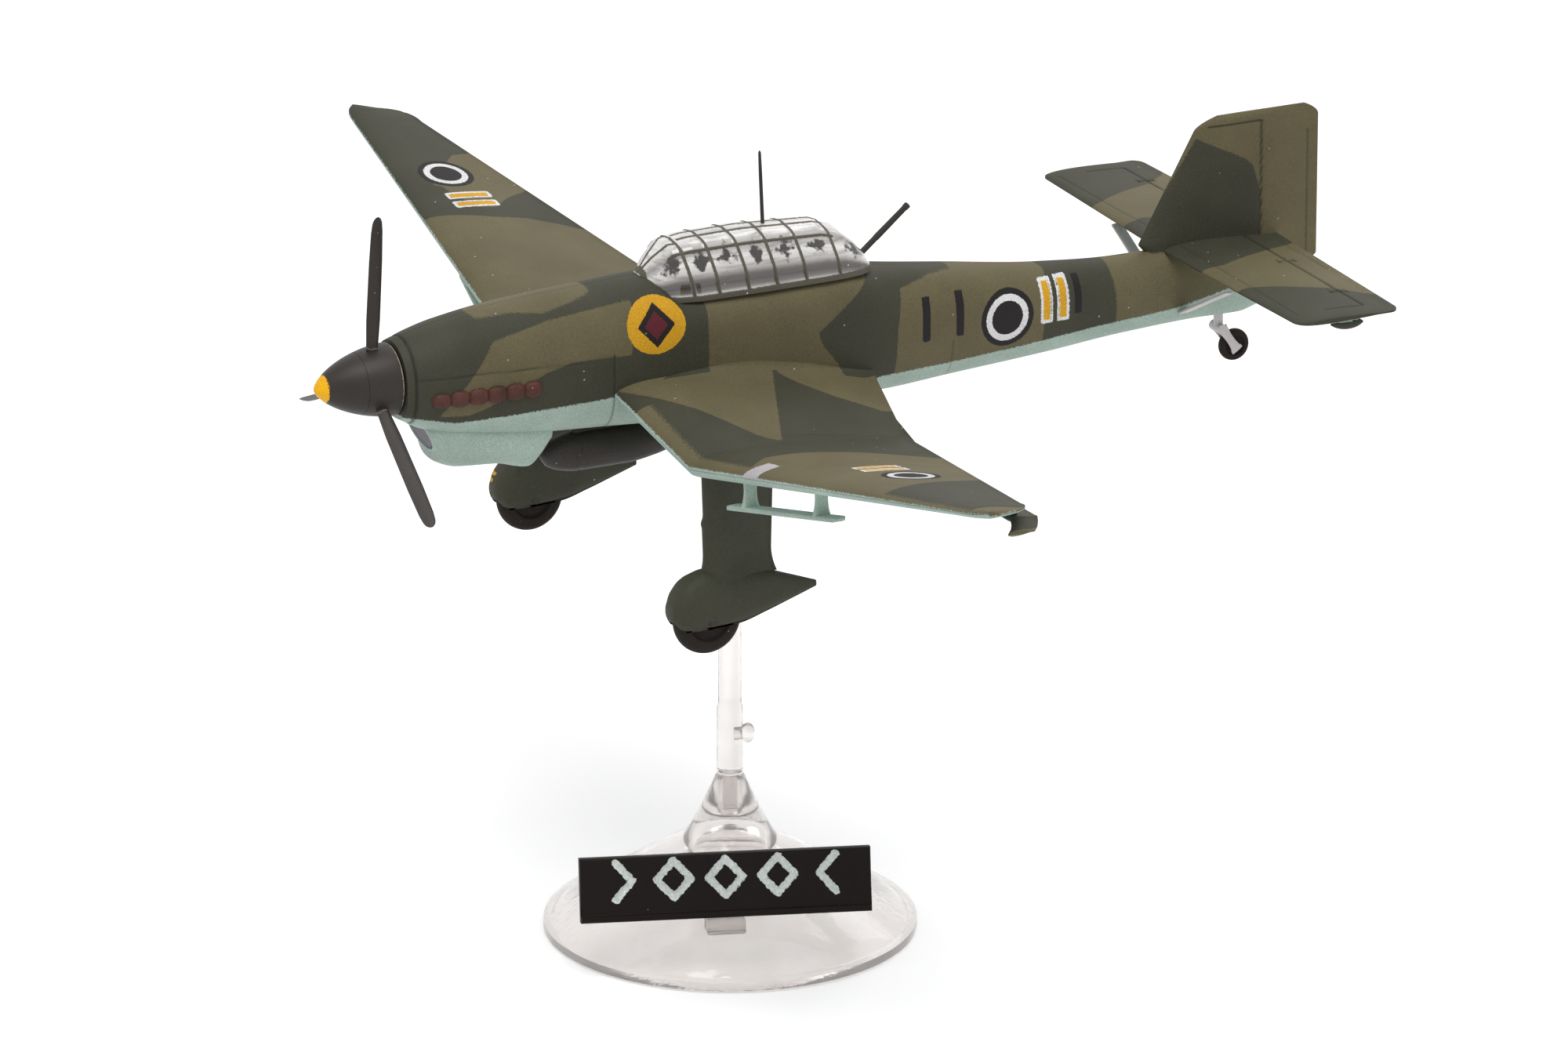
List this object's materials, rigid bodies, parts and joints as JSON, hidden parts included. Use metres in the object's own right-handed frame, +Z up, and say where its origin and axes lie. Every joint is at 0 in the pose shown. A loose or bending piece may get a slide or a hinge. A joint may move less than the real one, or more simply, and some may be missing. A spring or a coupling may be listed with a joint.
{
  "type": "propeller plane model",
  "caption": "Small-scale plastic kit of a two-seat inverted-gull-wing propeller plane with spatted wheels, on a clear round stand with a black nameplate.",
  "frame": {"origin": "centre of the flat underside of the stand's round base", "axes": "+X along the aircraft's nose, +Y towards its port wing tip, +Z up"},
  "size_m": [0.0749, 0.0958, 0.0547],
  "materials": {
    "clear_plastic": "clear polished polystyrene",
    "canopy_clear": "clear polished polystyrene with painted frames",
    "black_plastic": "fine satin grain",
    "camouflage_paint": "matt two-tone splinter camouflage paint",
    "underside_paint": "matt pale blue-green paint",
    "dark_plastic": "matt dark grey-green paint",
    "propeller_black": "satin black-green paint with a yellow tip on the spinner",
    "exhaust_brown": "matt rust-brown paint",
    "radiator_grey": "matt dark grey paint",
    "silver_paint": "satin silver-grey paint",
    "tyre_black": "matt black-brown paint"
  },
  "bodies": {
    "stand": {"stand_base": "clear_plastic", "nameplate": "black_plastic"},
    "column": {"stand_column": "clear_plastic"},
    "aircraft": {"fuselage_left": "camouflage_paint", "fuselage_right": "camouflage_paint", "canopy": "canopy_clear", "aerial_mast": "dark_plastic", "rear_gun": "dark_plastic", "radiator_housing": "underside_paint", "radiator_core": "radiator_grey", "exhaust_left": "exhaust_brown", "exhaust_right": "exhaust_brown", "wing_upper_left": "camouflage_paint", "wing_upper_right": "camouflage_paint", "wing_lower_left": "underside_paint", "wing_lower_right": "underside_paint", "flap_left": "camouflage_paint", "flap_right": "camouflage_paint", "aileron_left": "camouflage_paint", "aileron_right": "camouflage_paint", "dive_brake_left": "underside_paint", "dive_brake_right": "underside_paint", "gear_leg_left": "camouflage_paint", "gear_leg_right": "camouflage_paint", "wheel_axle_left": "silver_paint", "wheel_axle_right": "silver_paint", "stabiliser_left": "camouflage_paint", "stabiliser_right": "camouflage_paint", "stabiliser_strut_left": "silver_paint", "stabiliser_strut_right": "silver_paint", "tail_fork": "silver_paint", "tail_axle": "silver_paint", "bomb": "dark_plastic"},
    "propeller_unit": {"spinner": "propeller_black", "propeller": "propeller_black", "propeller_shaft": "silver_paint"},
    "left_wheel": {"main_wheel_left": "tyre_black"},
    "right_wheel": {"main_wheel_right": "tyre_black"},
    "rear_wheel": {"tail_wheel": "tyre_black"}
  },
  "joints": [
    {"name": "column_swivel", "type": "hinge", "parent": "stand", "child": "column", "pos_m": [0, 0, 0.011], "axis": [0, 0, 1], "continuous": true},
    {"name": "aircraft_lift", "type": "slide", "parent": "column", "child": "aircraft", "axis": [0, 0, 1], "range_m": [0, 0.004]},
    {"name": "propeller_spin", "type": "hinge", "parent": "aircraft", "child": "propeller_unit", "pos_m": [0.02625, 0, 0.0428], "axis": [1, 0, 0], "continuous": true},
    {"name": "left_wheel_roll", "type": "hinge", "parent": "aircraft", "child": "left_wheel", "pos_m": [0.0084, 0.0136, 0.02785], "axis": [0, 1, 0], "continuous": true},
    {"name": "right_wheel_roll", "type": "hinge", "parent": "aircraft", "child": "right_wheel", "pos_m": [0.0084, -0.0136, 0.02785], "axis": [0, 1, 0], "continuous": true},
    {"name": "tail_wheel_roll", "type": "hinge", "parent": "aircraft", "child": "rear_wheel", "pos_m": [-0.0383, 0, 0.03575], "axis": [0, 1, 0], "continuous": true}
  ]
}
